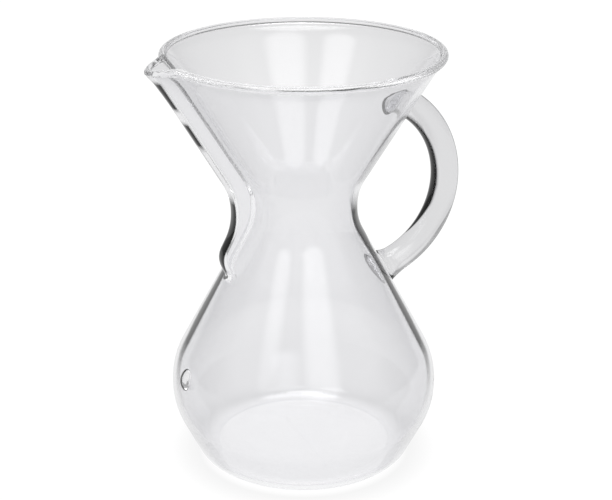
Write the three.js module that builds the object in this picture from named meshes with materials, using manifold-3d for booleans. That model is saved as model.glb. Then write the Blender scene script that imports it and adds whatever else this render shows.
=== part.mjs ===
// Pour-over coffee maker in clear glass: an hourglass vessel with a spout and air channel moulded
// into its wall, a bent solid handle and a small fused level button.
// Millimetres, +Z up, origin at the centre of the flat base.
// The handle lies towards +X, the spout towards -X.
import * as THREE from 'three';
import { mergeVertices } from 'three/addons/utils/BufferGeometryUtils.js';
import Module from 'manifold-3d';

const wasm = await Module();
wasm.setup();

// Vessel outline on its outer face: corners of the profile before rounding, and the radii that round them
const HEIGHT = 210;
const BASE_RADIUS = 51.8;
const HEEL_FILLET = 12;
const BULB_RADIUS = 66.6;
const BULB_BELT_LOW = 30;
const BULB_BELT_HIGH = 50;
const BULB_LOWER_FILLET = 37;
const BULB_UPPER_FILLET = 39.5;
const WAIST_RADIUS = 26.4;
const WAIST_LOW = 124.9;
const WAIST_HIGH = 140.6;
const WAIST_FILLET = 28;
const RIM_RADIUS = 69.8;
const RIM_FLARE = 6.3;
const RIM_FLARE_HEIGHT = 7;
const RIM_FLARE_FILLET = 30;

// Glass thickness
const WALL = 3;
const FLOOR = 4;
const RIM_BEAD_RADIUS = 2.1;

// Spout and air channel: how far the wall is pushed out, how wide, and where the push fades
const CHANNEL_DEPTH = 10.6;
const CHANNEL_HALF_WIDTH = 10;
const CHANNEL_TAIL = 24.9;
const CHANNEL_RUN_OUT = 15;
const CHANNEL_ROUNDNESS = 1.5;
const MOUTH_HALF_WIDTH = 18;
const MOUTH_FLARE_LENGTH = 22;
const MOUTH_GAIN = 0.6;
const MOUTH_ROUNDNESS = 1.05;
const LIP_DROP = 2;
const LIP_TUCK = 2.8;

// Handle: a round rod on one arc, fused to the funnel and to the shoulder
const HANDLE_ROD_RADIUS = 7;
const HANDLE_REACH = 76.7;
const UPPER_WELD_BELOW_RIM = 29.4;
const LOWER_WELD_HEIGHT = 94.1;
const WELD_SINK = 9;
const WELD_SWELL = 1.2;
const WELD_SWELL_LENGTH = 9;

// Level button: a round dome on the bulb, a little to one side of the spout
const BUTTON_HEIGHT = 51.8;
const BUTTON_RADIUS = 5.3;
const BUTTON_PROUD = 2.4;
const BUTTON_TURN_DEGREES = 5.5;

// Gap that a fused piece keeps to the vessel's face
const WELD_GAP = 0.3;

// Fineness of the facets
const TURN_STEPS = 60;
const TURN_CROWDING = 0.68;
const ARC_STEP_DEGREES = 12;
const BEAD_STEP_DEGREES = 34;
const WALL_STEP = 9;
const FOOT_STEP = 2.6;
const ROD_STEPS = 32;
const ROD_HALF_SIDES = 9;
const BUTTON_SIDES = 20;
const MERGE_DISTANCE = 1e-4;
const SLOPE_STEP = 0.5;

// Look of the glass
const GLASS_ROUGHNESS = 0.04;
const GLASS_OPACITY = 0.35;
const VESSEL_COLOR = 0xe4e5e9;
const HANDLE_COLOR = 0xdcdde1;
const BUTTON_COLOR = 0xd6d7db;

const SPOUT_TURN = Math.PI;
const CHANNEL_FOOT = WAIST_LOW - CHANNEL_TAIL;
const clamp01 = (value) => THREE.MathUtils.clamp(value, 0, 1);

// Profile of the vessel

// Corners of the outer face from the axis outwards and up, each with the radius that rounds it.
function outerCorners() {
  return [
    { at: new THREE.Vector2(0, 0), fillet: 0 },
    { at: new THREE.Vector2(BASE_RADIUS, 0), fillet: HEEL_FILLET },
    { at: new THREE.Vector2(BULB_RADIUS, BULB_BELT_LOW), fillet: BULB_LOWER_FILLET },
    { at: new THREE.Vector2(BULB_RADIUS, BULB_BELT_HIGH), fillet: BULB_UPPER_FILLET },
    { at: new THREE.Vector2(WAIST_RADIUS, WAIST_LOW), fillet: WAIST_FILLET },
    { at: new THREE.Vector2(WAIST_RADIUS, WAIST_HIGH), fillet: WAIST_FILLET },
    { at: new THREE.Vector2(RIM_RADIUS - RIM_FLARE, HEIGHT - RIM_FLARE_HEIGHT), fillet: RIM_FLARE_FILLET },
    { at: new THREE.Vector2(RIM_RADIUS, HEIGHT), fillet: 0 },
  ];
}

// Unit vector along the wall from one corner to the next.
function wallDirection(from, to) {
  return to.clone().sub(from).normalize();
}

// Unit vector square to the wall, pointing into the vessel.
function inwardNormal(direction) {
  return new THREE.Vector2(-direction.y, direction.x);
}

// Point where two lines meet, each given by a point and a direction.
function meetingPoint(pointA, directionA, pointB, directionB) {
  const along = pointB.clone().sub(pointA).cross(directionB) / directionA.cross(directionB);
  return pointA.clone().addScaledVector(directionA, along);
}

// The same corners with the base moved in by one depth and every other wall by another.
// A rounding that bulges outwards shrinks by the depth, one that bulges inwards grows by it.
function movedCorners(baseDepth, wallDepth) {
  const corners = outerCorners();
  const lines = corners.slice(1).map((corner, index) => {
    const from = corners[index].at;
    const direction = wallDirection(from, corner.at);
    const depth = index === 0 ? baseDepth : wallDepth;
    return { point: from.clone().addScaledVector(inwardNormal(direction), depth), direction };
  });
  return corners.map((corner, index) => {
    if (index === 0) {
      return { at: lines[0].point, fillet: 0 };
    }
    if (index === corners.length - 1) {
      const last = lines[index - 1];
      const level = new THREE.Vector2(0, HEIGHT);
      return { at: meetingPoint(last.point, last.direction, level, new THREE.Vector2(1, 0)), fillet: 0 };
    }
    const before = lines[index - 1];
    const after = lines[index];
    const bulgesOut = before.direction.cross(after.direction) > 0;
    const fillet = corner.fillet + (bulgesOut ? -wallDepth : wallDepth);
    return { at: meetingPoint(before.point, before.direction, after.point, after.direction), fillet };
  });
}

// Points round one corner: an arc that touches both walls, no longer than the half walls beside it allow.
function roundedCorner(before, corner, after) {
  const arriving = wallDirection(before.at, corner.at);
  const leaving = wallDirection(corner.at, after.at);
  const bend = Math.atan2(arriving.cross(leaving), arriving.dot(leaving));
  const room = Math.min(before.at.distanceTo(corner.at), corner.at.distanceTo(after.at)) / 2;
  const tangent = Math.min(corner.fillet * Math.tan(Math.abs(bend) / 2), room);
  const radius = tangent / Math.tan(Math.abs(bend) / 2);
  const start = corner.at.clone().addScaledVector(arriving, -tangent);
  const centre = start.clone().addScaledVector(inwardNormal(arriving), radius * Math.sign(bend));
  const startAngle = Math.atan2(start.y - centre.y, start.x - centre.x);
  const arc = new THREE.EllipseCurve(
    centre.x, centre.y, radius, radius, startAngle, startAngle + bend, bend < 0, 0);
  const steps = Math.max(2, Math.ceil(Math.abs(THREE.MathUtils.radToDeg(bend)) / ARC_STEP_DEGREES));
  return arc.getPoints(steps);
}

// The whole profile of one face as points, with every inner corner rounded.
function roundedProfile(corners) {
  const points = [corners[0].at];
  for (let index = 1; index < corners.length - 1; index += 1) {
    points.push(...roundedCorner(corners[index - 1], corners[index], corners[index + 1]));
  }
  points.push(corners[corners.length - 1].at);
  return points;
}

// Cuts the stretches beside the channel into short steps, shortest where the channel runs out at its foot.
function refined(points) {
  const result = [points[0]];
  for (let index = 1; index < points.length; index += 1) {
    const from = points[index - 1];
    const to = points[index];
    const crossesFoot = from.y < CHANNEL_FOOT && to.y > CHANNEL_FOOT;
    const start = crossesFoot ? (CHANNEL_FOOT - from.y) / (to.y - from.y) : 0;
    if (crossesFoot) {
      result.push(from.clone().lerp(to, start));
    }
    const stepLength = from.y < CHANNEL_FOOT + CHANNEL_RUN_OUT ? FOOT_STEP : WALL_STEP;
    const steps = to.y > CHANNEL_FOOT ? Math.ceil(from.distanceTo(to) * (1 - start) / stepLength) : 1;
    for (let step = 1; step <= steps; step += 1) {
      result.push(from.clone().lerp(to, THREE.MathUtils.lerp(start, 1, step / steps)));
    }
  }
  return result;
}

// The rounded bead that closes the wall at the rim, from the outer face over the top to the inner face.
function rimBead(corners) {
  const top = corners[corners.length - 1].at;
  const direction = wallDirection(corners[corners.length - 2].at, top);
  const normal = inwardNormal(direction);
  const drop = (RIM_BEAD_RADIUS + normal.y * WALL / 2) / direction.y;
  const centre = top.clone().addScaledVector(direction, -drop).addScaledVector(normal, WALL / 2);
  const outward = Math.atan2(-normal.y, -normal.x);
  const tuck = Math.acos(Math.min(1, WALL / 2 / RIM_BEAD_RADIUS));
  const arc = new THREE.EllipseCurve(
    centre.x, centre.y, RIM_BEAD_RADIUS, RIM_BEAD_RADIUS, outward - tuck, outward + Math.PI + tuck, false, 0);
  const sweep = THREE.MathUtils.radToDeg(Math.PI + 2 * tuck);
  return arc.getPoints(Math.ceil(sweep / BEAD_STEP_DEGREES));
}

// The closed wall: up the outer face, over the bead and down the inner face to the axis.
// Each point also holds its share of the way through the glass, 0 on the outer face and 1 on the inner.
function vesselProfile() {
  const corners = outerCorners();
  const bead = rimBead(corners);
  const outer = roundedProfile(corners);
  const inner = roundedProfile(movedCorners(FLOOR, WALL));
  outer[outer.length - 1] = bead[0];
  inner[inner.length - 1] = bead[bead.length - 1];
  const outerPoints = refined(outer).slice(0, -1);
  const innerPoints = refined(inner).reverse().slice(1);
  return [
    ...outerPoints.map((point) => ({ point, through: 0 })),
    ...bead.map((point, index) => ({ point, through: index / (bead.length - 1) })),
    ...innerPoints.map((point) => ({ point, through: 1 })),
  ];
}

// Radius of the round outer face at a height, between the heel and the rim.
function outerRadiusAt(height) {
  const points = roundedProfile(outerCorners());
  const above = points.findIndex((point, index) => index > 1 && point.y >= height);
  const from = points[above - 1];
  const to = points[above];
  return THREE.MathUtils.mapLinear(height, from.y, to.y, from.x, to.x);
}

// Spout and channel

// Share of the way up the last stretch below the rim, 0 at its foot and 1 at the rim.
function shareBelowRim(height, stretch) {
  return clamp01((height - (HEIGHT - stretch)) / stretch);
}

// Half width of the push at a height: round at the foot, even along the channel, flared at the mouth.
function channelHalfWidth(height) {
  const fromFoot = clamp01((height - CHANNEL_FOOT) / CHANNEL_HALF_WIDTH);
  const rounded = CHANNEL_HALF_WIDTH * Math.sqrt(1 - (1 - fromFoot) ** 2);
  const intoMouth = shareBelowRim(height, MOUTH_FLARE_LENGTH);
  return rounded + (MOUTH_HALF_WIDTH - CHANNEL_HALF_WIDTH) * intoMouth ** 2;
}

// How far out the channel's crest stands at a height: nothing at the foot, full soon above it,
// a little more into the mouth, and drawn in again where the rim flares.
function channelCrest(height) {
  const climb = clamp01((height - CHANNEL_FOOT) / CHANNEL_RUN_OUT);
  const gain = MOUTH_GAIN * shareBelowRim(height, MOUTH_FLARE_LENGTH);
  const tuck = LIP_TUCK * shareBelowRim(height, RIM_FLARE_HEIGHT) ** 2;
  return CHANNEL_DEPTH * Math.sin(climb * Math.PI / 2) + gain - tuck;
}

// Share of the crest that is left at a distance to the side, from 1 in the middle to 0 at the half width.
// The channel is round like half a pipe, and its mouth is pointed.
function channelShare(side, halfWidth, height) {
  const reach = halfWidth > 0 ? clamp01(Math.abs(side) / halfWidth) : 1;
  const intoMouth = shareBelowRim(height, MOUTH_FLARE_LENGTH);
  const roundness = THREE.MathUtils.lerp(CHANNEL_ROUNDNESS, MOUTH_ROUNDNESS, intoMouth);
  return Math.cos(reach ** roundness * Math.PI / 2) ** 2;
}

// A point of the wall after the channel has pushed it out and the lip has been drawn down.
function pushedPoint(profilePoint, turn) {
  const { point, through } = profilePoint;
  const offTurn = turn - SPOUT_TURN;
  const onWall = point.x > 0 && point.y > CHANNEL_FOOT;
  const nearSpout = onWall && Math.cos(offTurn) > 0;
  const side = point.x * Math.sin(offTurn);
  const halfWidth = channelHalfWidth(point.y) - through * WALL;
  const share = nearSpout ? channelShare(side, halfWidth, point.y) : 0;
  const radius = point.x + channelCrest(point.y) * share;
  const height = point.y - LIP_DROP * share * shareBelowRim(point.y, MOUTH_FLARE_LENGTH) ** 2;
  return new THREE.Vector3(radius * Math.cos(turn), radius * Math.sin(turn), height);
}

// Solids

// Turn angle of a column of the revolved wall; the columns crowd together at the spout.
function columnTurn(column) {
  const even = 2 * Math.PI * column / TURN_STEPS;
  return even + TURN_CROWDING * Math.sin(even);
}

// Only positions, shared vertices merged and faces without area left out.
function welded(geometry) {
  geometry.deleteAttribute('normal');
  geometry.deleteAttribute('uv');
  const merged = mergeVertices(geometry, MERGE_DISTANCE);
  const index = merged.index.array;
  const kept = [];
  for (let face = 0; face < index.length; face += 3) {
    const [a, b, c] = index.slice(face, face + 3);
    if (a !== b && b !== c && c !== a) {
      kept.push(a, b, c);
    }
  }
  merged.setIndex(kept);
  merged.computeVertexNormals();
  return merged;
}

// A profile turned round the axis, with each of its points placed by a function of the turn.
function revolved(profile, place) {
  const geometry = new THREE.LatheGeometry(profile.map((entry) => entry.point), TURN_STEPS);
  const position = geometry.attributes.position;
  for (let index = 0; index < position.count; index += 1) {
    const turn = columnTurn(Math.floor(index / profile.length));
    const placed = place(profile[index % profile.length], turn);
    position.setXYZ(index, placed.x, placed.y, placed.z);
  }
  return welded(geometry);
}

function solidOf(geometry) {
  const { position } = geometry.attributes;
  const vertProperties = new Float32Array(position.array);
  const triVerts = new Uint32Array(geometry.index.array);
  return new wasm.Manifold(new wasm.Mesh({ numProp: 3, vertProperties, triVerts }));
}

function geometryOf(solid) {
  const mesh = solid.getMesh();
  const geometry = new THREE.BufferGeometry();
  geometry.setAttribute('position', new THREE.BufferAttribute(mesh.vertProperties, 3));
  geometry.setIndex(new THREE.BufferAttribute(mesh.triVerts, 1));
  geometry.computeVertexNormals();
  return geometry;
}

// The space that the vessel takes up, grown by the weld gap; it trims the pieces fused to the wall.
function vesselEnvelope() {
  const face = roundedProfile(movedCorners(-WELD_GAP, -WELD_GAP));
  const top = new THREE.Vector2(0, HEIGHT);
  const profile = [...face, top].map((point) => ({ point, through: 0 }));
  return solidOf(revolved(profile, pushedPoint));
}

function carafeBody() {
  return revolved(vesselProfile(), pushedPoint);
}

// The handle's centre line: an arc in the XZ plane through both welds and the middle of the grip.
class HandleArc extends THREE.Curve {
  constructor() {
    super();
    const upperHeight = HEIGHT - UPPER_WELD_BELOW_RIM;
    const upper = new THREE.Vector2(outerRadiusAt(upperHeight), upperHeight);
    const lower = new THREE.Vector2(outerRadiusAt(LOWER_WELD_HEIGHT), LOWER_WELD_HEIGHT);
    const grip = new THREE.Vector2(HANDLE_REACH, (upperHeight + LOWER_WELD_HEIGHT) / 2);
    const square = (from, to) => inwardNormal(wallDirection(from, to));
    const middle = (from, to) => from.clone().lerp(to, 0.5);
    this.centre = meetingPoint(
      middle(upper, grip), square(upper, grip), middle(lower, grip), square(lower, grip));
    this.radius = this.centre.distanceTo(grip);
    this.upperAngle = Math.atan2(upper.y - this.centre.y, upper.x - this.centre.x);
    this.lowerAngle = Math.atan2(lower.y - this.centre.y, lower.x - this.centre.x);
  }

  at(angle) {
    return new THREE.Vector3(
      this.centre.x + this.radius * Math.cos(angle), 0, this.centre.y + this.radius * Math.sin(angle));
  }

  getPoint(share) {
    const sink = WELD_SINK / this.radius;
    return this.at(THREE.MathUtils.lerp(this.lowerAngle - sink, this.upperAngle + sink, share));
  }

  angleOf(x, z) {
    return Math.atan2(z - this.centre.y, x - this.centre.x);
  }

  // Distance along the arc from the nearer weld, nothing inside the wall.
  fromWeld(angle) {
    return Math.max(0, Math.min(this.upperAngle - angle, angle - this.lowerAngle) * this.radius);
  }
}

// The rod swells smoothly where it runs into the wall, and the wall's own face trims its ends.
function handle(envelope) {
  const arc = new HandleArc();
  const section = new THREE.Shape().absarc(0, 0, HANDLE_ROD_RADIUS, 0, 2 * Math.PI);
  const rod = new THREE.ExtrudeGeometry(
    section, { steps: ROD_STEPS, curveSegments: ROD_HALF_SIDES, extrudePath: arc, bevelEnabled: false });
  const position = rod.attributes.position;
  for (let index = 0; index < position.count; index += 1) {
    const vertex = new THREE.Vector3().fromBufferAttribute(position, index);
    const angle = arc.angleOf(vertex.x, vertex.z);
    const centre = arc.at(angle);
    const nearness = 1 - clamp01(arc.fromWeld(angle) / WELD_SWELL_LENGTH);
    const swell = 1 + WELD_SWELL / HANDLE_ROD_RADIUS * nearness ** 2;
    vertex.sub(centre).multiplyScalar(swell).add(centre);
    position.setXYZ(index, vertex.x, vertex.y, vertex.z);
  }
  return geometryOf(solidOf(welded(rod)).subtract(envelope));
}

// A low dome whose middle lies on the bulb's face and whose back follows that face.
function levelButton(envelope) {
  const radius = outerRadiusAt(BUTTON_HEIGHT);
  const below = outerRadiusAt(BUTTON_HEIGHT - SLOPE_STEP);
  const above = outerRadiusAt(BUTTON_HEIGHT + SLOPE_STEP);
  const slope = (below - above) / (2 * SLOPE_STEP);
  const turn = SPOUT_TURN + THREE.MathUtils.degToRad(BUTTON_TURN_DEGREES);
  const dome = new THREE.SphereGeometry(1, BUTTON_SIDES, BUTTON_SIDES);
  dome.scale(BUTTON_PROUD, BUTTON_RADIUS, BUTTON_RADIUS);
  dome.rotateY(-Math.atan(slope));
  dome.translate(radius, 0, BUTTON_HEIGHT);
  dome.rotateZ(turn);
  return geometryOf(solidOf(welded(dome)).subtract(envelope));
}

// Assembly

// Clear glass, a little greyer where it is thick.
function clearGlass(color) {
  return new THREE.MeshStandardMaterial({
    color, roughness: GLASS_ROUGHNESS, metalness: 0, transparent: true, opacity: GLASS_OPACITY });
}

function namedMesh(name, geometry, color) {
  const mesh = new THREE.Mesh(geometry, clearGlass(color));
  mesh.name = name;
  return mesh;
}

const envelope = vesselEnvelope();
const coffeeMaker = new THREE.Group();
coffeeMaker.add(namedMesh('carafe_body', carafeBody(), VESSEL_COLOR));
coffeeMaker.add(namedMesh('handle', handle(envelope), HANDLE_COLOR));
coffeeMaker.add(namedMesh('level_button', levelButton(envelope), BUTTON_COLOR));

export default coffeeMaker;
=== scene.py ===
"""Clear glass pour-over coffee maker: blown hourglass vessel, fused rod handle and level button.

Metres, +Z up, origin at the centre of the base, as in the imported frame.
"""
import math
from bisect import bisect_left

import bmesh
import bpy
from mathutils import Matrix, Vector


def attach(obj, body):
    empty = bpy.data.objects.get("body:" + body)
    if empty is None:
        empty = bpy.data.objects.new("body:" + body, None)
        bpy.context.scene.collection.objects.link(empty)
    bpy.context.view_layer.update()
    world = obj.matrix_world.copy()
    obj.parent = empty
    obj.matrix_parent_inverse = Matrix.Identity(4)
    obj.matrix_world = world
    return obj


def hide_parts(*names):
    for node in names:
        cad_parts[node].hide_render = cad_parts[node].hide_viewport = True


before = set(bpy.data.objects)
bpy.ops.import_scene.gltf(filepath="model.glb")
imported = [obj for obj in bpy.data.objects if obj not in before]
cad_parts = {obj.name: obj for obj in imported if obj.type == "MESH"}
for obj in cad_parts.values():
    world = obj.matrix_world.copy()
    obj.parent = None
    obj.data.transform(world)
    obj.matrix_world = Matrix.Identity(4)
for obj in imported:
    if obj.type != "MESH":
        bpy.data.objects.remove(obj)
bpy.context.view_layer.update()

MM = 0.001

# Vessel outline on its outer face: radius, height and rounding of each corner, in millimetres
HEIGHT = 210.0
RIM_FLARE_HEIGHT = 7.0
OUTLINE = (
    (0.0, 0.0, 0.0),
    (51.8, 0.0, 12.0),
    (66.6, 30.0, 37.0),
    (66.6, 50.0, 39.5),
    (26.4, 124.9, 28.0),
    (26.4, 140.6, 28.0),
    (63.5, HEIGHT - RIM_FLARE_HEIGHT, 30.0),
    (69.8, HEIGHT, 0.0),
)

# Wall of the vessel, the thicker floor inside its base with a soft edge, and the rim
WALL = 3.0
FLOOR = 4.0
FLOOR_RADIUS = 45.5
FLOOR_EDGE = 2.6
RIM_CUT = 1.9
RIM_BEAD = 0.3
RIM_BEAD_LENGTH = 5.0
RIM_ROUNDING = 1.75

# Spout and air channel
CHANNEL_FOOT = 100.0
CHANNEL_DEPTH = 10.6
CHANNEL_HALF_WIDTH = 10.0
CHANNEL_RUN_OUT = 15.0
CHANNEL_ROUNDNESS = 1.5
MOUTH_HALF_WIDTH = 18.0
MOUTH_FLARE_LENGTH = 22.0
MOUTH_GAIN = 0.6
MOUTH_ROUNDNESS = 1.05
LIP_DROP = 2.0
LIP_TUCK = 2.8

# Handle rod
ROD_RADIUS = 7.0
HANDLE_REACH = 76.7
UPPER_WELD_HEIGHT = HEIGHT - 29.4
LOWER_WELD_HEIGHT = 94.1
WELD_SWELL = 2.2
WELD_SWELL_LENGTH = 9.0

# Level button
BUTTON_HEIGHT = 51.8
BUTTON_RADIUS = 5.3
BUTTON_PROUD = 2.4
BUTTON_EDGE = 0.5
BUTTON_TURN = math.pi + math.radians(5.5)

# Film of air that keeps two fused faces apart
WELD_GAP = 0.06

# Fineness of the meshes
TURN_STEPS = 224
TURN_CROWDING = 0.66
ARC_STEP = math.radians(4.0)
LEAST_ARC_STEPS = 3
WALL_STEP = 2.2
RIM_SEGMENTS = 8
RIM_CORNER = math.radians(60)
ROD_SIDES = 48
ROD_STEPS = 96
CAP_RINGS = (0.66, 0.33)
BUTTON_SIDES = 36
MERGE_DISTANCE = 1e-3
SLOPE_SPAN = 1.0
FLOOR_BAND = 0.1
LEAST_WIDTH = 1e-6

# Search for the rod's ends on the vessel's face: angle to either side in radians, and halvings
WELD_SEARCH = 0.5
WELD_SEARCH_STEPS = 40

# Values that the meshes carry for the glass: 1 on the vessel's outer face, the rise from the
# channel's sides to its crest, and the rod's painted dark reflection on the side of the fingers
OUTER_FACE = "outer_face"
CHANNEL_CREST = "channel_crest"
ROD_REFLECTION_PAINT = "rod_reflection_paint"

# The rod's painted dark reflection: a crescent along its length, in shares of it, and a ring at its
# welds
CRESCENT_START = 0.2
CRESCENT_RISE = 0.2
CRESCENT_FALL = 0.5
CRESCENT_WRAP = 1.6
WELD_RING = 0.9
WELD_RING_LENGTH = 2.5

# Glass
GLASS_IOR = 1.48
# Facing where the glass goes from its face tint to its edge tint; that grey is partly painted shade
TINT_RANGE = (0.22, 0.97)
SHADOW_TINT = (0.93, 0.93, 0.94, 1.0)
WAVE_STRETCH = (26.0, 26.0, 9.0)
WAVE_SCALE = 1.0
WAVE_DETAIL = 1.5
HAZE_SCALE = 45.0
HAZE_DETAIL = 2.0
HAZE_RANGE = ((0.35, 0.75), (0.0, 0.03))
RIM_HAZE = ((0.2050, 0.2085), (0.0, 0.12))

# Painted dark reflections at the glass's edges, in black. Zones are heights in metres where an edge
# fades in and out again
PAINTED_REFLECTION_BLACK = (0.0, 0.0, 0.0, 1.0)
SHOULDER_ZONE = (0.034, 0.064, 0.133, 0.146)
SHOULDER_LEAST = 0.12
FUNNEL_ZONE = (0.146, 0.152, 0.170, 0.180)
FUNNEL_MOST = 0.6
TAIL_ZONE = (0.098, 0.104, 0.138, 0.146)
MIDDLE_STROKE_ZONE = (0.165, 0.170, 0.180, 0.183)
UPPER_STROKE_ZONE = (0.186, 0.189, 0.201, 0.204)

# Shifts of a painted dark edge with the height: heights, and the shifts at them
LOW_THINNING = ((0.100, 0.124), (-0.08, 0.0))
HIGH_THINNING = ((0.140, 0.150), (0.0, -0.12))
LOW_CLEARING = ((0.050, 0.080), (0.08, 0.0))
HIGH_CLEARING = ((0.112, 0.126), (0.0, -0.4))
STROKE_WIDENING = ((0.148, 0.160), (-0.13, 0.03))

# How far the surface has turned from the eye, 0 to 1, where a painted dark edge fades in or out
EDGE_BEGINS = (0.55, 0.60)
EDGE_ENDS = (0.80, 0.88)
STROKE_BEGINS = (0.12, 0.20)
ROD_LINE = (0.68, 0.80)
BUTTON_LINE = (0.46, 0.56)

# Share of the channel's depth where its painted dark strokes fade in, and how much the rod's
# painted crescent counts
STROKE_CREST = (0.2, 0.4)
CRESCENT_GAIN = 0.6

# Camera, from the photograph's viewing angle; the picture is 612 pixels wide
PICTURE_WIDTH = 612
CAMERA_AIM = Vector((0.0, 0.0, 0.105))
CAMERA_DISTANCE = 0.76
CAMERA_AZIMUTH = math.radians(-22.0)
CAMERA_ELEVATION = math.radians(21.78)
CAMERA_CLIP = 0.01
FOCAL_PIXELS = 1533.4
AXIS_LEFT_PIXELS = 2.5
AXIS_DOWN_PIXELS = 6.6
SENSOR = 36.0

# Studio floor: distances from the vessel's axis in metres, and the glow at them
GROUND_SIZE = 5.0
GROUND_COLOUR = (0.07, 0.07, 0.07, 1.0)
GROUND_GLOW = ((0.5, 1.1), (0.82, 0.74))
GROUND_GLOW_SEEN = ((1.1, 2.6), (0.96, 0.84))
# Painted pool of light under the base, for light that the glass gathers there, and a painted shadow
# round the foot
PAINTED_CAUSTIC_UNDER_BASE = ((0.045, 0.063), (0.30, 0.0))
FOOT_SHADE = ((0.05175, 0.0765), (0.90, 1.0))

# Studio room, with its front wall on the camera's side: spans are how far a direction reaches
# towards the back wall or the ceiling, from -1 to 1, and levels are the light there
WHITE = (1.0, 1.0, 1.0, 1.0)
FRONT_SPAN = (-0.35, 0.0)
FRONT_LEVEL = 0.75
SIDE_LEVEL = 0.4
BACK_SPAN = (0.86, 0.97)
BACK_LEVEL = 0.95
CEILING_SPAN = (math.sin(math.radians(45.0)), math.sin(math.radians(60.0)))
CEILING_LEVEL = 0.6

# Soft lights of the room: azimuth, elevation, full and faded half-angle in degrees, strength
SOFT_LIGHTS = (
    (0.0, 86.0, 12.0, 26.0, 5.0),
    (-62.0, 40.0, 7.0, 17.0, 1.6),
    (-2.0, 40.0, 10.0, 22.0, 1.6),
)

# Light guided in the wall needs many bounces
BOUNCES = 64


def clamp01(value):
    return min(1.0, max(0.0, value))


def eased(share):
    """A share from 0 to 1 that starts and ends gently."""
    return share ** 2 * (3 - 2 * share)


def round_point(radius, turn, height):
    """The point at a radius and a turn about the axis, at a height."""
    return Vector((radius * math.cos(turn), radius * math.sin(turn), height))


def direction(azimuth, elevation):
    """Unit vector from the object towards a place round it; azimuth 0 stands in front, at -Y."""
    level = math.cos(elevation)
    return Vector((math.sin(azimuth) * level, -math.cos(azimuth) * level, math.sin(elevation)))


# Shapes

def drawn_line(bm, tip, to):
    """Draws a straight stretch of a profile in the XZ plane and returns its new end."""
    end = bmesh.ops.extrude_vert_indiv(bm, verts=[tip])["verts"][0]
    end.co = to
    return end


def drawn_arc(bm, tip, centre, bend):
    """Draws an arc of a profile and returns its new end. A positive bend turns from X to Z."""
    steps = max(LEAST_ARC_STEPS, math.ceil(abs(bend) / ARC_STEP))
    made = bmesh.ops.spin(bm, geom=[tip], cent=centre, axis=(0, -1, 0), angle=bend, steps=steps)
    return [part for part in made["geom_last"] if isinstance(part, bmesh.types.BMVert)][0]


def drawn_outline(bm):
    """Draws the vessel's outline, each corner rounded by a true arc, up to where the rim begins."""
    places = [Vector((radius, 0.0, height)) for radius, height, _ in OUTLINE]
    tip = bm.verts.new(places[0])
    for before, place, after, corner in zip(places, places[1:], places[2:], OUTLINE[1:]):
        rounding = corner[2]
        arriving = (place - before).normalized()
        leaving = (after - place).normalized()
        bend = math.atan2(
            arriving.x * leaving.z - arriving.z * leaving.x, arriving.dot(leaving))
        tangent = rounding * math.tan(abs(bend) / 2)
        start = place - arriving * tangent
        inward = Vector((-arriving.z, 0.0, arriving.x))
        tip = drawn_line(bm, tip, start)
        tip = drawn_arc(bm, tip, start + inward * math.copysign(rounding, bend), bend)
    rim_run = (places[-1] - places[-2]).normalized()
    drawn_line(bm, tip, places[-1] - rim_run * RIM_CUT)


def outline_table():
    """Heights and radii of the rounded outer face above the foot."""
    bm = bmesh.new()
    drawn_outline(bm)
    rows = sorted((vert.co.z, vert.co.x) for vert in bm.verts if vert.co.z > 0.0)
    bm.free()
    return rows


FACE_TABLE = outline_table()


def face_radius(height):
    """Radius of the round outer face at a height."""
    index = min(max(bisect_left(FACE_TABLE, (height, 0.0)), 1), len(FACE_TABLE) - 1)
    (low, from_radius), (high, to_radius) = FACE_TABLE[index - 1], FACE_TABLE[index]
    return from_radius + (to_radius - from_radius) * (height - low) / (high - low)


def face_normal(height):
    """Outward normal of the round face at a height: its share along the radius and along Z."""
    half = SLOPE_SPAN / 2
    slope = (face_radius(height + half) - face_radius(height - half)) / SLOPE_SPAN
    length = math.hypot(1.0, slope)
    return 1.0 / length, -slope / length


def pushed(place):
    """A point of the outer face after the channel and the spout have pushed it out.

    Also returns its share of the channel's depth.
    """
    if place.z <= CHANNEL_FOOT or place.x > 0:
        return place, 0.0
    radius = math.hypot(place.x, place.y)
    turn = math.atan2(place.y, place.x)
    above_foot = place.z - CHANNEL_FOOT
    from_foot = clamp01(above_foot / CHANNEL_HALF_WIDTH)
    into_mouth = clamp01((place.z - (HEIGHT - MOUTH_FLARE_LENGTH)) / MOUTH_FLARE_LENGTH)
    into_flare = clamp01((place.z - (HEIGHT - RIM_FLARE_HEIGHT)) / RIM_FLARE_HEIGHT)
    half_width = CHANNEL_HALF_WIDTH * math.sqrt(1 - (1 - from_foot) ** 2)
    half_width += (MOUTH_HALF_WIDTH - CHANNEL_HALF_WIDTH) * into_mouth ** 2
    crest = CHANNEL_DEPTH * math.sin(clamp01(above_foot / CHANNEL_RUN_OUT) * math.pi / 2)
    crest += MOUTH_GAIN * into_mouth - LIP_TUCK * into_flare ** 2
    reach = clamp01(abs(place.y) / max(half_width, LEAST_WIDTH))
    roundness = CHANNEL_ROUNDNESS + (MOUTH_ROUNDNESS - CHANNEL_ROUNDNESS) * into_mouth
    share = math.cos(reach ** roundness * math.pi / 2) ** 2
    height = place.z - LIP_DROP * share * into_mouth ** 2
    return round_point(radius + crest * share, turn, height), crest * share / CHANNEL_DEPTH


def crowded(place):
    """The point turned about the axis so that the wall's columns crowd together at the spout."""
    turn = math.atan2(place.y, place.x)
    turn += TURN_CROWDING * math.sin(turn)
    return round_point(math.hypot(place.x, place.y), turn, place.z)


def spun(bm, steps):
    """Spins a profile once round the Z axis."""
    bmesh.ops.spin(
        bm, geom=bm.verts[:] + bm.edges[:], cent=(0, 0, 0), axis=(0, 0, 1),
        angle=2 * math.pi, steps=steps, use_merge=True)
    bmesh.ops.remove_doubles(bm, verts=bm.verts[:], dist=MERGE_DISTANCE)


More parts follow.
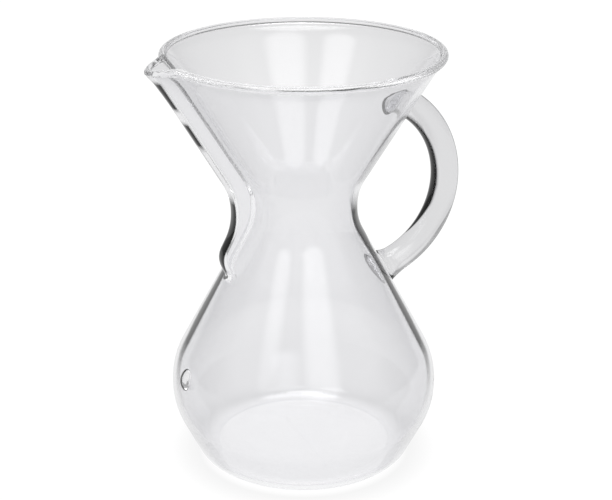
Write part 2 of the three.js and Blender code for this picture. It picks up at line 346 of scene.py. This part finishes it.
def spun_outer_face():
    """The vessel's outline spun about its axis, with its faces turned outwards."""
    bm = bmesh.new()
    drawn_outline(bm)
    for edge in bm.edges[:]:
        cuts = math.ceil(edge.calc_length() / WALL_STEP) - 1
        if cuts > 0:
            bmesh.ops.subdivide_edges(bm, edges=[edge], cuts=cuts)
    spun(bm, TURN_STEPS)
    bmesh.ops.recalc_face_normals(bm, faces=bm.faces[:])
    widest = max(bm.faces, key=lambda face: face.calc_center_median().x)
    if widest.normal.x < 0:
        bmesh.ops.reverse_faces(bm, faces=bm.faces[:])
    return bm


def carafe_body_mesh():
    """The blown vessel: its outer face pushed out at the channel, given its wall and its rim."""
    bm = spun_outer_face()
    below_rim = bm.verts.layers.float.new("below_rim")
    channel_crest = bm.verts.layers.float.new(CHANNEL_CREST)
    rim_level = max(vert.co.z for vert in bm.verts)
    for vert in bm.verts:
        vert[below_rim] = rim_level - vert.co.z
        vert.co, vert[channel_crest] = pushed(crowded(vert.co))
    bm.normal_update()
    outer_face = bm.verts.layers.float.new(OUTER_FACE)
    made = bmesh.ops.solidify(bm, geom=bm.faces[:], thickness=WALL)["geom"]
    inner_verts = {part for part in made if isinstance(part, bmesh.types.BMVert)}
    for vert in bm.verts:
        vert[outer_face] = 0.0 if vert in inner_verts else 1.0
    bm.normal_update()
    for vert in bm.verts:
        vert.co += vert.normal * RIM_BEAD * eased(1.0 - clamp01(vert[below_rim] / RIM_BEAD_LENGTH))
        if abs(vert.co.z - WALL) < WALL * FLOOR_BAND:
            from_edge = FLOOR_RADIUS - math.hypot(vert.co.x, vert.co.y)
            vert.co.z += (FLOOR - WALL) * eased(clamp01(from_edge / FLOOR_EDGE))
    bm.normal_update()
    sharp = [edge for edge in bm.edges if edge.calc_face_angle(0.0) > RIM_CORNER]
    bmesh.ops.bevel(
        bm, geom=sharp, offset=RIM_ROUNDING, offset_type="OFFSET", segments=RIM_SEGMENTS,
        profile=0.5, affect="EDGES", material=-1)
    return bm


def circle_through(first, second, third):
    """Centre and radius of the circle through three points of the XZ plane."""
    ax, az = second.x - first.x, second.z - first.z
    bx, bz = third.x - first.x, third.z - first.z
    double = 2 * (ax * bz - az * bx)
    a, b = ax * ax + az * az, bx * bx + bz * bz
    centre = first + Vector(((bz * a - az * b) / double, 0.0, (ax * b - bx * a) / double))
    return centre, (first - centre).length


def handle_mesh():
    """The solid rod on one arc; it swells at both ends, and its ends lie on the vessel's face."""
    upper = Vector((face_radius(UPPER_WELD_HEIGHT), 0.0, UPPER_WELD_HEIGHT))
    lower = Vector((face_radius(LOWER_WELD_HEIGHT), 0.0, LOWER_WELD_HEIGHT))
    grip = Vector((HANDLE_REACH, 0.0, (UPPER_WELD_HEIGHT + LOWER_WELD_HEIGHT) / 2))
    centre, reach = circle_through(upper, grip, lower)

    def angle_of(place):
        return math.atan2(place.z - centre.z, place.x - centre.x)

    def rod_point(angle, out, aside):
        far = reach + out
        return centre + Vector((far * math.cos(angle), aside, far * math.sin(angle)))

    def clear_of_wall(place):
        outward, _ = face_normal(place.z)
        return math.hypot(place.x, place.y) - face_radius(place.z) > WELD_GAP / outward

    def end_angle(start, step, out, aside):
        """Angle at which a line of the rod comes out of the wall, searched from inside it."""
        inside, outside = start - step, start + step
        for _ in range(WELD_SEARCH_STEPS):
            middle = (inside + outside) / 2
            if clear_of_wall(rod_point(middle, out, aside)):
                outside = middle
            else:
                inside = middle
        return outside

    upper_angle, lower_angle = angle_of(upper), angle_of(lower)
    bm = bmesh.new()
    rod_reflection_paint = bm.verts.layers.float.new(ROD_REFLECTION_PAINT)
    start = Matrix.Translation(lower) @ Matrix.Rotation(-lower_angle, 4, "Y")
    bmesh.ops.create_circle(
        bm, cap_ends=False, radius=ROD_RADIUS, segments=ROD_SIDES, matrix=start)
    bmesh.ops.spin(
        bm, geom=bm.verts[:] + bm.edges[:], cent=centre, axis=(0, -1, 0),
        angle=upper_angle - lower_angle, steps=ROD_STEPS)
    grown = 1 + WELD_SWELL / ROD_RADIUS
    ends = {}
    for vert in bm.verts:
        out = math.hypot(vert.co.x - centre.x, vert.co.z - centre.z) - reach
        aside = vert.co.y
        share = (angle_of(vert.co) - lower_angle) / (upper_angle - lower_angle)
        line = (round(out, 3), round(aside, 3))
        if line not in ends:
            ends[line] = (
                end_angle(lower_angle, WELD_SEARCH, out * grown, aside * grown),
                end_angle(upper_angle, -WELD_SEARCH, out * grown, aside * grown))
        low, high = ends[line]
        angle = low + (high - low) * share
        from_weld = min(angle - low, high - angle) * reach
        # Painted dark reflection: a crescent on the rod's inner side and a ring at each weld
        rise = clamp01((share - CRESCENT_START) / CRESCENT_RISE)
        fall = clamp01((1.0 - share) / CRESCENT_FALL)
        crescent = clamp01(-CRESCENT_WRAP * out / ROD_RADIUS) * math.sqrt(rise * fall)
        ring = WELD_RING * (1 - clamp01(from_weld / WELD_RING_LENGTH))
        vert[rod_reflection_paint] = max(crescent, ring)
        swell = 1 + (grown - 1) * (1 - clamp01(from_weld / WELD_SWELL_LENGTH)) ** 2
        vert.co = rod_point(angle, out * swell, aside * swell)
    rod_verts = set(bm.verts)
    for loop in boundary_loops(bm):
        close_on_wall(bm, loop)
    for vert in bm.verts:
        if vert not in rod_verts:
            vert[rod_reflection_paint] = 0.0
    bmesh.ops.recalc_face_normals(bm, faces=bm.faces[:])
    return bm


def boundary_loops(bm):
    """The open edge loops of a mesh, each as a list of edges."""
    loose = [edge for edge in bm.edges if edge.is_boundary]
    loops = []
    while loose:
        front = [loose.pop()]
        loop = []
        while front:
            edge = front.pop()
            loop.append(edge)
            for near in (near for vert in edge.verts for near in vert.link_edges):
                if near in loose:
                    loose.remove(near)
                    front.append(near)
        loops.append(loop)
    return loops


def on_wall(place):
    """The point moved along the radius to just outside the vessel's face."""
    outward, _ = face_normal(place.z)
    wanted = face_radius(place.z) + WELD_GAP / outward
    share = wanted / math.hypot(place.x, place.y)
    return Vector((place.x * share, place.y * share, place.z))


def close_on_wall(bm, loop):
    """Closes an open end with rings that follow the vessel's face."""
    verts = {vert for edge in loop for vert in edge.verts}
    middle = sum((vert.co for edge in loop for vert in edge.verts), Vector()) / (2 * len(loop))
    for before, ring in zip((1.0, *CAP_RINGS), CAP_RINGS):
        made = bmesh.ops.extrude_edge_only(bm, edges=loop)["geom"]
        loop = [part for part in made if isinstance(part, bmesh.types.BMEdge)
                and all(vert not in verts for vert in part.verts)]
        inner = {vert for edge in loop for vert in edge.verts}
        for vert in inner:
            vert.co = on_wall(middle + (vert.co - middle) * ring / before)
        verts |= inner
    cap = bmesh.ops.edgeloop_fill(bm, edges=loop)["faces"]
    for hub in bmesh.ops.poke(bm, faces=cap)["verts"]:
        hub.co = on_wall(hub.co)


def level_button_mesh():
    """A low dome spun in its own frame, then laid on the bulb so that its back follows the face."""
    bm = bmesh.new()
    dome_height = BUTTON_PROUD - BUTTON_EDGE
    dome_radius = (BUTTON_RADIUS ** 2 + dome_height ** 2) / (2 * dome_height)
    tip = bm.verts.new((0.0, 0.0, 0.0))
    tip = drawn_line(bm, tip, Vector((BUTTON_RADIUS / 2, 0.0, 0.0)))
    tip = drawn_line(bm, tip, Vector((BUTTON_RADIUS - BUTTON_EDGE, 0.0, 0.0)))
    tip = drawn_line(bm, tip, Vector((BUTTON_RADIUS, 0.0, BUTTON_EDGE)))
    dome_centre = Vector((0.0, 0.0, BUTTON_PROUD - dome_radius))
    drawn_arc(bm, tip, dome_centre, math.asin(BUTTON_RADIUS / dome_radius))
    spun(bm, BUTTON_SIDES)
    for vert in bm.verts:
        height = BUTTON_HEIGHT + vert.co.y * face_normal(BUTTON_HEIGHT)[0]
        outward, up = face_normal(height)
        turn = BUTTON_TURN + vert.co.x / face_radius(BUTTON_HEIGHT)
        lift = WELD_GAP + vert.co.z
        vert.co = round_point(face_radius(height) + lift * outward, turn, height + lift * up)
    bmesh.ops.recalc_face_normals(bm, faces=bm.faces[:])
    return bm


def made_piece(name, bm, material, node):
    """Turns a bmesh in millimetres into a piece that stands for a CAD node."""
    bmesh.ops.scale(bm, vec=(MM, MM, MM), verts=bm.verts[:])
    mesh = bpy.data.meshes.new(name)
    bm.to_mesh(mesh)
    bm.free()
    mesh.shade_smooth()
    mesh.materials.append(material)
    piece = bpy.data.objects.new(name, mesh)
    bpy.context.scene.collection.objects.link(piece)
    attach(piece, "root")
    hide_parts(node)


# Materials

class Wiring:
    """Short calls that add a node to a tree, link its inputs and return its output."""

    def __init__(self, tree):
        self.nodes = tree.nodes
        self.links = tree.links

    def put(self, value, socket):
        """Sets a socket to a number, or links another node's output to it."""
        if isinstance(value, float):
            socket.default_value = value
        else:
            self.links.new(value, socket)

    def math(self, operation, first, second):
        """Two numbers or outputs put through a Math node."""
        node = self.nodes.new("ShaderNodeMath")
        node.operation = operation
        self.put(first, node.inputs[0])
        self.put(second, node.inputs[1])
        return node.outputs["Value"]

    def vector(self, operation, first, second=None):
        """A vector put through a Vector Math node, with a plain second vector if it needs one."""
        node = self.nodes.new("ShaderNodeVectorMath")
        node.operation = operation
        self.links.new(first, node.inputs[0])
        if second is not None:
            node.inputs[1].default_value = second
        return node.outputs

    def along(self, vector, axis):
        """How far a vector reaches along an axis."""
        return self.vector("DOT_PRODUCT", vector, tuple(axis))["Value"]

    def height(self):
        """Height on the object, in metres."""
        return self.along(self.place("Object"), (0.0, 0.0, 1.0))

    def place(self, space):
        """Coordinates in a space."""
        return self.nodes.new("ShaderNodeTexCoord").outputs[space]

    def ranged(self, value, span, levels=(0.0, 1.0), curve="SMOOTHSTEP"):
        """A value taken from a span to levels, which are numbers or outputs."""
        node = self.nodes.new("ShaderNodeMapRange")
        node.interpolation_type = curve
        self.links.new(value, node.inputs["Value"])
        for name, limit in zip(("From Min", "From Max", "To Min", "To Max"), (*span, *levels)):
            self.put(limit, node.inputs[name])
        return node.outputs["Result"]

    def noise(self, vector, scale, detail):
        """Noise over a vector."""
        node = self.nodes.new("ShaderNodeTexNoise")
        node.inputs["Scale"].default_value = scale
        node.inputs["Detail"].default_value = detail
        self.links.new(vector, node.inputs["Vector"])
        return node.outputs["Fac"]

    def mesh_value(self, name):
        """A value that the mesh carries."""
        node = self.nodes.new("ShaderNodeAttribute")
        node.attribute_name = name
        return node.outputs["Fac"]

    def group(self, tree):
        """The outputs of a shared group."""
        node = self.nodes.new("ShaderNodeGroup")
        node.node_tree = tree
        return node.outputs

    def facing(self, normal=None):
        """How far the surface, or another normal, has turned from the eye."""
        node = self.nodes.new("ShaderNodeLayerWeight")
        node.inputs["Blend"].default_value = 0.5
        if normal is not None:
            self.links.new(normal, node.inputs["Normal"])
        return node.outputs["Facing"]


def shared_group(name, outputs):
    """A new node group with values as outputs; returns it, its wiring and its output sockets."""
    group = bpy.data.node_groups.new(name, "ShaderNodeTree")
    for output in outputs:
        group.interface.new_socket(output, in_out="OUTPUT", socket_type="NodeSocketFloat")
    wire = Wiring(group)
    return group, wire, wire.nodes.new("NodeGroupOutput").inputs


def waved_glass():
    """Shared masks of how blown glass wavers: slow waves, and a haze that grows at the rim."""
    group, wire, out = shared_group("waved_glass", ("Waves", "Haze"))
    place = wire.place("Object")
    stretched = wire.nodes.new("ShaderNodeMapping")
    stretched.inputs["Scale"].default_value = WAVE_STRETCH
    wire.put(place, stretched.inputs["Vector"])
    wire.put(wire.noise(stretched.outputs["Vector"], WAVE_SCALE, WAVE_DETAIL), out["Waves"])
    haze = wire.ranged(wire.noise(place, HAZE_SCALE, HAZE_DETAIL), *HAZE_RANGE, curve="LINEAR")
    wire.put(wire.math("ADD", haze, wire.ranged(wire.height(), *RIM_HAZE)), out["Haze"])
    return group


def painted_reflection_zones():
    """Masks of where the vessel's edges get painted dark reflections, and shifts of those edges, by
    height.
    """
    group, wire, out = shared_group(
        "painted_reflection_zones", ("Body", "Strokes", "Thinning", "Clearing", "Widening"))
    height = wire.height()

    def zone(heights, least=0.0, most=1.0):
        rise = wire.ranged(height, heights[:2], (least, most))
        fall = wire.ranged(height, heights[2:], (1.0, 0.0))
        return wire.math("MULTIPLY", rise, fall)

    def shift(low, high):
        return wire.math("ADD", wire.ranged(height, *low), wire.ranged(height, *high))

    shoulder = zone(SHOULDER_ZONE, least=SHOULDER_LEAST)
    funnel = zone(FUNNEL_ZONE, most=FUNNEL_MOST)
    wire.put(wire.math("MAXIMUM", shoulder, funnel), out["Body"])
    strokes = wire.math("MAXIMUM", zone(MIDDLE_STROKE_ZONE), zone(UPPER_STROKE_ZONE))
    wire.put(wire.math("MAXIMUM", zone(TAIL_ZONE), strokes), out["Strokes"])
    wire.put(shift(LOW_THINNING, HIGH_THINNING), out["Thinning"])
    wire.put(shift(LOW_CLEARING, HIGH_CLEARING), out["Clearing"])
    wire.put(wire.ranged(height, *STROKE_WIDENING), out["Widening"])
    return group


WAVES = waved_glass()
PAINTED_REFLECTION_ZONES = painted_reflection_zones()


def side_facing(wire):
    """How far the wall is seen from its side: the facing of its normal laid level."""
    normal = wire.nodes.new("ShaderNodeNewGeometry").outputs["Normal"]
    level = wire.vector("MULTIPLY", normal, (1.0, 1.0, 0.0))["Vector"]
    return wire.facing(wire.vector("NORMALIZE", level)["Vector"])


def vessel_painted_reflections(wire, facing, path):
    """Painted dark reflections on the wall's edges, at the first look only: thin on the body, broad
    on the channel.
    """
    zones = wire.group(PAINTED_REFLECTION_ZONES)
    begun = wire.ranged(wire.math("ADD", facing, zones["Thinning"]), EDGE_BEGINS)
    cleared = wire.math("ADD", facing, zones["Clearing"])
    before_end = wire.ranged(cleared, EDGE_ENDS, (1.0, 0.0))
    thin = wire.math("MULTIPLY", begun, before_end)
    sideways = wire.math("ADD", side_facing(wire), zones["Widening"])
    crest = wire.ranged(wire.mesh_value(CHANNEL_CREST), STROKE_CREST)
    broad = wire.math("MULTIPLY", wire.ranged(sideways, STROKE_BEGINS), crest)
    on_body = wire.math("MULTIPLY", thin, zones["Body"])
    on_channel = wire.math("MULTIPLY", broad, zones["Strokes"])
    drawn = wire.math("MAXIMUM", on_body, on_channel)
    outside = wire.math("MULTIPLY", drawn, wire.mesh_value(OUTER_FACE))
    return wire.math("MULTIPLY", outside, path["Is Camera Ray"])


def unmirrored(wire, line, path):
    """A painted dark edge that is left out where it would show in a reflection."""
    return wire.math("MULTIPLY", line, wire.math("SUBTRACT", 1.0, path["Is Reflection Ray"]))


def rod_dark_reflection(wire, facing, path):
    """Painted dark reflection on the rod: a crescent on the side of the fingers, thickest at the
    middle.
    """
    crescent = wire.math("MULTIPLY", wire.mesh_value(ROD_REFLECTION_PAINT), CRESCENT_GAIN)
    return unmirrored(wire, wire.ranged(wire.math("ADD", facing, crescent), ROD_LINE), path)


def button_dark_reflection(wire, facing, path):
    """Painted dark reflection on the button's edge, where its dome turns away."""
    return unmirrored(wire, wire.ranged(facing, BUTTON_LINE), path)


def clear_glass(name, face_tint, edge_tint_and_shade, wave_height, paint_dark_reflections):
    """Clear glass: darker where the eye looks along the wall, partly painted shade, and light in
    its shadow.

    Its waves have a height in millimetres, and the last argument is the function that paints dark
    reflections on its edges.
    """
    material = bpy.data.materials.new(name)
    material.use_nodes = True
    wire = Wiring(material.node_tree)
    shader = wire.nodes["Principled BSDF"]
    shader.inputs["Transmission Weight"].default_value = 1.0
    shader.inputs["IOR"].default_value = GLASS_IOR
    waves = wire.group(WAVES)
    wire.put(waves["Haze"], shader.inputs["Roughness"])
    bump = wire.nodes.new("ShaderNodeBump")
    bump.inputs["Strength"].default_value = 1.0
    bump.inputs["Distance"].default_value = wave_height * MM
    wire.put(waves["Waves"], bump.inputs["Height"])
    wire.put(bump.outputs["Normal"], shader.inputs["Normal"])
    # Grey towards the edge: partly the longer path through the glass, partly painted shade
    facing = wire.facing()
    tint = wire.nodes.new("ShaderNodeValToRGB")
    for stop, position, colour in zip(
            tint.color_ramp.elements, TINT_RANGE, (face_tint, edge_tint_and_shade)):
        stop.position = position
        stop.color = (*colour, 1.0)
    wire.put(facing, tint.inputs["Fac"])
    path = wire.nodes.new("ShaderNodeLightPath").outputs
    # Painted dark reflections: black mixed into the glass colour where the edge function draws
    drawn = wire.nodes.new("ShaderNodeMix")
    drawn.data_type = "RGBA"
    wire.put(paint_dark_reflections(wire, facing, path), drawn.inputs["Factor"])
    wire.put(tint.outputs["Color"], drawn.inputs["A"])
    drawn.inputs["B"].default_value = PAINTED_REFLECTION_BLACK
    wire.put(drawn.outputs["Result"], shader.inputs["Base Color"])
    clear = wire.nodes.new("ShaderNodeBsdfTransparent")
    clear.inputs["Color"].default_value = SHADOW_TINT
    mix = wire.nodes.new("ShaderNodeMixShader")
    wire.put(path["Is Shadow Ray"], mix.inputs["Fac"])
    wire.put(shader.outputs["BSDF"], mix.inputs[1])
    wire.put(clear.outputs["BSDF"], mix.inputs[2])
    wire.put(mix.outputs["Shader"], wire.nodes["Material Output"].inputs["Surface"])
    return material


vessel_glass = clear_glass(
    "vessel_glass", face_tint=(0.94, 0.94, 0.95), edge_tint_and_shade=(0.75, 0.75, 0.77),
    wave_height=0.15, paint_dark_reflections=vessel_painted_reflections)
handle_glass = clear_glass(
    "handle_glass", face_tint=(0.79, 0.79, 0.80), edge_tint_and_shade=(0.72, 0.72, 0.74),
    wave_height=0.1, paint_dark_reflections=rod_dark_reflection)
button_glass = clear_glass(
    "button_glass", face_tint=(0.93, 0.93, 0.94), edge_tint_and_shade=(0.5, 0.5, 0.52),
    wave_height=0.1, paint_dark_reflections=button_dark_reflection)
made_piece("blown_vessel", carafe_body_mesh(), vessel_glass, "carafe_body")
made_piece("rod_handle", handle_mesh(), handle_glass, "handle")
made_piece("fused_button", level_button_mesh(), button_glass, "level_button")


# Camera, floor and room

def made_camera():
    """The camera at the photograph's viewing angle."""
    lens = bpy.data.cameras.new("camera")
    lens.sensor_width = SENSOR
    lens.lens = FOCAL_PIXELS / PICTURE_WIDTH * SENSOR
    lens.shift_x = AXIS_LEFT_PIXELS / PICTURE_WIDTH
    lens.shift_y = AXIS_DOWN_PIXELS / PICTURE_WIDTH
    lens.clip_start = CAMERA_CLIP
    camera = bpy.data.objects.new("camera", lens)
    bpy.context.scene.collection.objects.link(camera)
    back = direction(CAMERA_AZIMUTH, CAMERA_ELEVATION)
    camera.location = CAMERA_AIM + back * CAMERA_DISTANCE
    camera.rotation_euler = back.to_track_quat("Z", "Y").to_euler()
    bpy.context.scene.camera = camera


def floor_paint():
    """Pale glowing floor, alike all round, with a painted pool of light and a painted shadow at the
    foot; the eye sees it a little brighter than the glass.
    """
    material = bpy.data.materials.new("floor_white")
    material.use_nodes = True
    wire = Wiring(material.node_tree)
    shader = wire.nodes["Principled BSDF"]
    shader.inputs["Base Color"].default_value = GROUND_COLOUR
    shader.inputs["Roughness"].default_value = 1.0
    shader.inputs["Specular IOR Level"].default_value = 0.0
    shader.inputs["Emission Color"].default_value = WHITE
    far = wire.vector("LENGTH", wire.place("Object"))["Value"]
    # Even glow, plus the painted pool of light under the base
    glow = wire.math("ADD", wire.ranged(far, *GROUND_GLOW), wire.ranged(far, *PAINTED_CAUSTIC_UNDER_BASE))
    path = wire.nodes.new("ShaderNodeLightPath").outputs
    seen = wire.math("MULTIPLY", wire.ranged(far, *GROUND_GLOW_SEEN), path["Is Camera Ray"])
    glow = wire.math("MAXIMUM", glow, seen)
    # Painted shadow round the foot
    glow = wire.math("MULTIPLY", glow, wire.ranged(far, *FOOT_SHADE))
    wire.put(glow, shader.inputs["Emission Strength"])
    return material


def made_floor():
    """The plain floor that the vessel stands on."""
    mesh = bpy.data.meshes.new("floor")
    bm = bmesh.new()
    bmesh.ops.create_grid(bm, x_segments=1, y_segments=1, size=GROUND_SIZE)
    bm.to_mesh(mesh)
    bm.free()
    mesh.materials.append(floor_paint())
    floor = bpy.data.objects.new("floor", mesh)
    bpy.context.scene.collection.objects.link(floor)


def made_room():
    """A plain room of soft light round the vessel."""
    world = bpy.data.worlds.new("studio")
    bpy.context.scene.world = world
    world.use_nodes = True
    wire = Wiring(world.node_tree)
    room = wire.nodes["Background"]
    room.inputs["Color"].default_value = WHITE
    place = wire.place("Generated")
    behind = wire.along(place, -direction(CAMERA_AZIMUTH, 0.0))
    level = wire.ranged(behind, FRONT_SPAN, (FRONT_LEVEL, SIDE_LEVEL))
    level = wire.ranged(behind, BACK_SPAN, (level, BACK_LEVEL))
    height = wire.along(place, (0.0, 0.0, 1.0))
    level = wire.ranged(height, CEILING_SPAN, (level, CEILING_LEVEL))
    for azimuth, elevation, full, faded, strength in SOFT_LIGHTS:
        near = wire.along(place, direction(math.radians(azimuth), math.radians(elevation)))
        span = (math.cos(math.radians(faded)), math.cos(math.radians(full)))
        level = wire.math("ADD", wire.ranged(near, span, (0.0, strength)), level)
    wire.put(level, room.inputs["Strength"])


made_camera()
made_floor()
made_room()

scene = bpy.context.scene
scene.view_settings.view_transform = "Standard"
scene.cycles.max_bounces = BOUNCES
scene.cycles.glossy_bounces = BOUNCES
scene.cycles.transmission_bounces = BOUNCES
scene.cycles.caustics_reflective = False
scene.cycles.caustics_refractive = False
